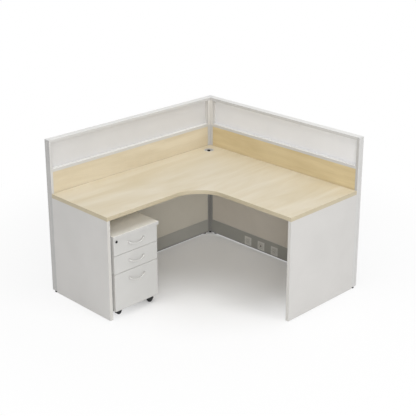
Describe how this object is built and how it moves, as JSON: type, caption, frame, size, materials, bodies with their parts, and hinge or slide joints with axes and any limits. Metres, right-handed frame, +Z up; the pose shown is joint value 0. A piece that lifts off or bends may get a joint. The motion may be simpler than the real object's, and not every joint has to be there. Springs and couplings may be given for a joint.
{
  "type": "cubicle workstation",
  "caption": "L-shaped cubicle workstation: framed screens on two sides, a corner worktop on board ends, cable raceways and a mobile drawer pedestal on castors.",
  "frame": {"origin": "on the floor, at the middle of the footprint", "axes": "+Z up; +X along the left wing towards the screens' corner; +Y from the user's side of the left wing towards its screen"},
  "size_m": [1.6, 1.5, 1.15],
  "materials": {
    "screen_profile": "satin silver-grey powder coat",
    "screen_cap": "satin",
    "frosted_infill": "frosted, lightly textured",
    "maple_infill": "maple laminate, satin",
    "grey_laminate": "warm grey laminate",
    "outer_laminate": "light grey laminate",
    "raceway_cover": "satin grey",
    "outlet_plastic": "satin",
    "black_plastic": "matt",
    "maple_worktop": "light maple laminate, satin",
    "maple_edge": "maple edge band",
    "gable_laminate": "light grey laminate",
    "bracket_steel": "grey",
    "grommet_silver": "silver",
    "grommet_lid_silver": "silver-grey plastic",
    "pedestal_laminate": "light grey laminate",
    "drawer_board": "light grey board",
    "handle_metal": "satin nickel",
    "runner_steel": "zinc",
    "lock_metal": "black",
    "castor_plastic": "black nylon",
    "castor_tread": "black"
  },
  "bodies": {
    "workstation": {"corner_post": "screen_profile", "top_caps": "screen_cap", "end_stiles": "screen_profile", "inner_stiles": "screen_profile", "top_rails": "screen_profile", "mid_rails": "screen_profile", "lower_rails": "screen_profile", "top_infills": "frosted_infill", "left_wood_infill": "maple_infill", "right_wood_infill": "maple_infill", "lower_infills": "grey_laminate", "outer_infills": "outer_laminate", "left_raceway_cover": "raceway_cover", "right_raceway_cover": "raceway_cover", "outer_raceway_covers": "raceway_cover", "raceway_clips": "bracket_steel", "power_outlets": "outlet_plastic", "data_outlet": "outlet_plastic", "levelling_feet": "black_plastic", "worktop": "maple_worktop", "worktop_edge_band": "maple_edge", "left_gable": "gable_laminate", "right_gable": "gable_laminate", "gable_glides": "black_plastic", "worktop_brackets": "bracket_steel", "grommet_ring": "grommet_silver"},
    "grommet_lid": {"grommet_lid": "grommet_lid_silver"},
    "pedestal": {"pedestal_top": "pedestal_laminate", "pedestal_left_side": "pedestal_laminate", "pedestal_right_side": "pedestal_laminate", "pedestal_back": "pedestal_laminate", "pedestal_bottom": "pedestal_laminate", "cabinet_runners": "runner_steel", "castor_plates": "runner_steel"},
    "lock_bar": {"lock_bar": "runner_steel"},
    "lock_plug": {"lock_plug": "lock_metal"},
    "drawer_1": {"drawer_1_front": "pedestal_laminate", "drawer_1_box": "drawer_board", "drawer_1_handle": "handle_metal", "drawer_runners_1": "runner_steel", "lock_housing": "lock_metal"},
    "middle_runners_1": {"middle_runners_1": "runner_steel"},
    "drawer_2": {"drawer_2_front": "pedestal_laminate", "drawer_2_box": "drawer_board", "drawer_2_handle": "handle_metal", "drawer_runners_2": "runner_steel"},
    "middle_runners_2": {"middle_runners_2": "runner_steel"},
    "drawer_3": {"drawer_3_front": "pedestal_laminate", "drawer_3_box": "drawer_board", "drawer_3_handle": "handle_metal", "drawer_runners_3": "runner_steel"},
    "middle_runners_3": {"middle_runners_3": "runner_steel"},
    "front_left_castor": {"front_left_castor": "castor_plastic"},
    "front_left_wheels": {"front_left_wheels": "castor_tread"},
    "front_right_castor": {"front_right_castor": "castor_plastic"},
    "front_right_wheels": {"front_right_wheels": "castor_tread"},
    "rear_left_castor": {"rear_left_castor": "castor_plastic"},
    "rear_left_wheels": {"rear_left_wheels": "castor_tread"},
    "rear_right_castor": {"rear_right_castor": "castor_plastic"},
    "rear_right_wheels": {"rear_right_wheels": "castor_tread"}
  },
  "joints": [
    {"name": "pedestal_roll", "type": "slide", "parent": "workstation", "child": "pedestal", "axis": [0, -1, 0], "range_m": [0, 0.6]},
    {"name": "grommet_lid_turn", "type": "hinge", "parent": "workstation", "child": "grommet_lid", "pos_m": [0.65, 0.615, 0.76], "axis": [0, 0, 1], "continuous": true},
    {"name": "drawer_1_slide", "type": "slide", "parent": "pedestal", "child": "drawer_1", "axis": [0, -1, 0], "range_m": [0, 0.4]},
    {"name": "middle_runners_1_slide", "type": "slide", "parent": "pedestal", "child": "middle_runners_1", "axis": [0, -1, 0], "range_m": [0, 0.2]},
    {"name": "drawer_2_slide", "type": "slide", "parent": "pedestal", "child": "drawer_2", "axis": [0, -1, 0], "range_m": [0, 0.4]},
    {"name": "middle_runners_2_slide", "type": "slide", "parent": "pedestal", "child": "middle_runners_2", "axis": [0, -1, 0], "range_m": [0, 0.2]},
    {"name": "drawer_3_slide", "type": "slide", "parent": "pedestal", "child": "drawer_3", "axis": [0, -1, 0], "range_m": [0, 0.4]},
    {"name": "middle_runners_3_slide", "type": "slide", "parent": "pedestal", "child": "middle_runners_3", "axis": [0, -1, 0], "range_m": [0, 0.2]},
    {"name": "lock_turn", "type": "hinge", "parent": "drawer_1", "child": "lock_plug", "pos_m": [-0.73, 0.095, 0.568], "axis": [0, 1, 0], "range_deg": [0, 180]},
    {"name": "lock_bar_lift", "type": "slide", "parent": "pedestal", "child": "lock_bar", "axis": [0, 0, 1], "range_m": [0, 0.008]},
    {"name": "front_left_swivel", "type": "hinge", "parent": "pedestal", "child": "front_left_castor", "pos_m": [-0.706, 0.1545, 0.049], "axis": [0, 0, 1], "continuous": true},
    {"name": "front_left_wheel_spin", "type": "hinge", "parent": "front_left_castor", "child": "front_left_wheels", "pos_m": [-0.688, 0.1545, 0.02], "axis": [0, 1, 0], "continuous": true},
    {"name": "front_right_swivel", "type": "hinge", "parent": "pedestal", "child": "front_right_castor", "pos_m": [-0.42, 0.1545, 0.049], "axis": [0, 0, 1], "continuous": true},
    {"name": "front_right_wheel_spin", "type": "hinge", "parent": "front_right_castor", "child": "front_right_wheels", "pos_m": [-0.40968, 0.13975, 0.02], "axis": [0.8192, 0.5736, 0], "continuous": true},
    {"name": "rear_left_swivel", "type": "hinge", "parent": "pedestal", "child": "rear_left_castor", "pos_m": [-0.706, 0.555, 0.049], "axis": [0, 0, 1], "continuous": true},
    {"name": "rear_left_wheel_spin", "type": "hinge", "parent": "rear_left_castor", "child": "rear_left_wheels", "pos_m": [-0.697, 0.57059, 0.02], "axis": [-0.866, 0.5, 0], "continuous": true},
    {"name": "rear_right_swivel", "type": "hinge", "parent": "pedestal", "child": "rear_right_castor", "pos_m": [-0.42, 0.555, 0.049], "axis": [0, 0, 1], "continuous": true},
    {"name": "rear_right_wheel_spin", "type": "hinge", "parent": "rear_right_castor", "child": "rear_right_wheels", "pos_m": [-0.40261, 0.55966, 0.02], "axis": [-0.2588, 0.9659, 0], "continuous": true}
  ],
  "couplings": [
    {"joint": "middle_runners_1_slide", "follows": "drawer_1_slide", "ratio": 0.5},
    {"joint": "middle_runners_2_slide", "follows": "drawer_2_slide", "ratio": 0.5},
    {"joint": "middle_runners_3_slide", "follows": "drawer_3_slide", "ratio": 0.5},
    {"joint": "lock_turn", "follows": "lock_bar_lift", "rad_per_m": 392.69}
  ]
}
